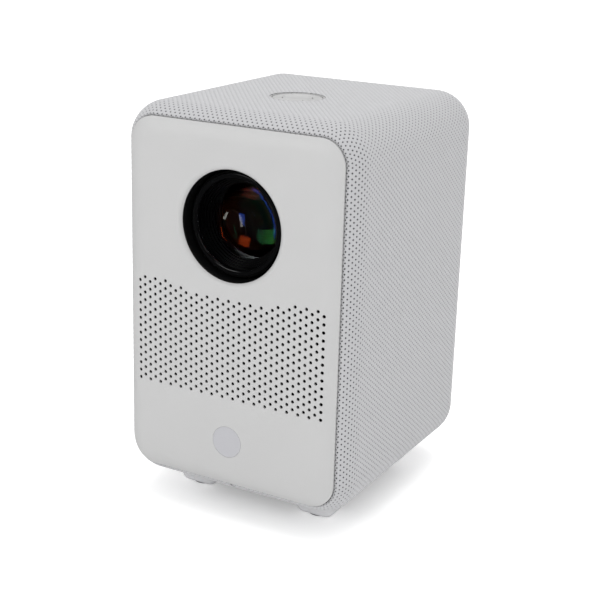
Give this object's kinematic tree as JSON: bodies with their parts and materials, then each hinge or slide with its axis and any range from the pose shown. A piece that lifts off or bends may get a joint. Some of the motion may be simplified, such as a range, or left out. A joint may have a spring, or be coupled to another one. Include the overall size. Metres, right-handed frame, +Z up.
{
  "type": "home projector",
  "caption": "Upright home projector: knitted fabric sleeve, moulded front with deep-set lens, drilled grille, badge disc and key pad on top.",
  "frame": {"origin": "on the table, under the middle of the body's box", "axes": "+Z up, the lens looks along -Y, +X is to the right seen from the front"},
  "size_m": [0.121, 0.136, 0.193],
  "materials": {
    "panel_plastic": "satin moulded",
    "badge_paint": "satin paint",
    "knit_fabric": "knitted mesh",
    "shell_plastic": "moulded",
    "rear_plastic": "fine grain",
    "base_plastic": "fine grain",
    "foot_plastic": "satin moulded",
    "foot_rubber": "matt",
    "brass": "turned",
    "key_plastic": "satin moulded",
    "circuit_board": "solder resist",
    "bright_steel": "drawn",
    "screw_steel": "black oxide",
    "barrel_black": "matt anodised look",
    "trim_gloss": "polished",
    "lens_glass": "coated and polished",
    "clear_glass": "clear",
    "knob_plastic": "knurled edge",
    "gear_plastic": "natural acetal",
    "cast_alloy": "extruded",
    "engine_plastic": "glass filled",
    "lcd_dark": "polariser film",
    "led_ceramic": "ceramic and phosphor",
    "speaker_steel": "black plated",
    "cone_paper": "pressed paper",
    "lead_rubber": "insulated",
    "jack_plastic": "moulded",
    "ir_plastic": "dark transparent"
  },
  "bodies": {
    "case": {"front_panel": "panel_plastic", "badge": "badge_paint", "fabric_cover": "knit_fabric", "main_shell": "shell_plastic", "rear_panel": "rear_plastic", "rear_screws": "screw_steel", "base_plate": "base_plastic", "base_screws": "screw_steel", "foot_front_left": "foot_plastic", "foot_front_right": "foot_plastic", "foot_rear_left": "foot_plastic", "foot_rear_right": "foot_plastic", "foot_pads": "foot_rubber", "tripod_insert": "brass", "pad_rim": "panel_plastic", "keypad_board": "circuit_board", "key_domes": "bright_steel", "lens_holder": "barrel_black", "ring_clip": "bright_steel", "shaft_bracket": "cast_alloy", "engine_housing": "engine_plastic", "engine_lid": "engine_plastic", "engine_screws": "screw_steel", "fresnel_lenses": "clear_glass", "lcd_panel": "lcd_dark", "heat_glass": "clear_glass", "condenser_lens": "clear_glass", "led_board": "led_ceramic", "heat_sink": "cast_alloy", "exhaust_fan_frame": "engine_plastic", "cooling_fan_frame": "engine_plastic", "speaker_box": "engine_plastic", "left_speaker": "speaker_steel", "right_speaker": "speaker_steel", "speaker_leads": "lead_rubber", "main_board": "circuit_board", "hdmi_port": "bright_steel", "usb_port": "bright_steel", "audio_jack": "jack_plastic", "dc_jack": "jack_plastic", "ir_window": "ir_plastic"},
    "lens": {"lens_barrel": "barrel_black", "lens_trim_ring": "trim_gloss", "front_lens": "lens_glass", "middle_lens": "lens_glass", "rear_lens": "lens_glass", "cam_pins": "bright_steel"},
    "focus_ring": {"focus_ring": "barrel_black"},
    "focus_drive": {"focus_knob": "knob_plastic", "focus_shaft": "bright_steel", "focus_pinion": "gear_plastic"},
    "exhaust_rotor": {"exhaust_fan_rotor": "engine_plastic"},
    "cooling_rotor": {"cooling_fan_rotor": "engine_plastic"},
    "left_cone": {"left_cone": "cone_paper"},
    "right_cone": {"right_cone": "cone_paper"},
    "key_ok": {"key_ok": "key_plastic"},
    "key_up": {"key_up": "key_plastic"},
    "key_down": {"key_down": "key_plastic"},
    "key_left": {"key_left": "key_plastic"},
    "key_right": {"key_right": "key_plastic"}
  },
  "joints": [
    {"name": "focus_knob_turn", "type": "hinge", "parent": "case", "child": "focus_drive", "pos_m": [0.02287, 0, 0.1703], "axis": [0, 1, 0], "range_deg": [-250, 250]},
    {"name": "focus_ring_turn", "type": "hinge", "parent": "case", "child": "focus_ring", "pos_m": [0, 0, 0.1425], "axis": [0, 1, 0], "range_deg": [-50, 50]},
    {"name": "lens_slide", "type": "slide", "parent": "case", "child": "lens", "axis": [0, 1, 0], "range_m": [-0.003, 0.003]},
    {"name": "exhaust_fan_spin", "type": "hinge", "parent": "case", "child": "exhaust_rotor", "pos_m": [0, 0, 0.1425], "axis": [0, 1, 0], "continuous": true},
    {"name": "cooling_fan_spin", "type": "hinge", "parent": "case", "child": "cooling_rotor", "pos_m": [0, 0.005, 0], "axis": [0, 0, 1], "continuous": true},
    {"name": "left_cone_stroke", "type": "slide", "parent": "case", "child": "left_cone", "axis": [0, 1, 0], "range_m": [-0.0008, 0.0008], "stiffness_N_per_m": 1500},
    {"name": "right_cone_stroke", "type": "slide", "parent": "case", "child": "right_cone", "axis": [0, 1, 0], "range_m": [-0.0008, 0.0008], "stiffness_N_per_m": 1500},
    {"name": "key_ok_press", "type": "slide", "parent": "case", "child": "key_ok", "axis": [0, 0, -1], "range_m": [0, 0.0005], "stiffness_N_per_m": 800, "springref_m": -0.0004},
    {"name": "key_up_press", "type": "slide", "parent": "case", "child": "key_up", "axis": [0, 0, -1], "range_m": [0, 0.0005], "stiffness_N_per_m": 800, "springref_m": -0.0004},
    {"name": "key_down_press", "type": "slide", "parent": "case", "child": "key_down", "axis": [0, 0, -1], "range_m": [0, 0.0005], "stiffness_N_per_m": 800, "springref_m": -0.0004},
    {"name": "key_left_press", "type": "slide", "parent": "case", "child": "key_left", "axis": [0, 0, -1], "range_m": [0, 0.0005], "stiffness_N_per_m": 800, "springref_m": -0.0004},
    {"name": "key_right_press", "type": "slide", "parent": "case", "child": "key_right", "axis": [0, 0, -1], "range_m": [0, 0.0005], "stiffness_N_per_m": 800, "springref_m": -0.0004}
  ],
  "couplings": [
    {"joint": "focus_ring_turn", "follows": "lens_slide", "rad_per_m": 290.89},
    {"joint": "focus_knob_turn", "follows": "lens_slide", "rad_per_m": -1454.4}
  ]
}
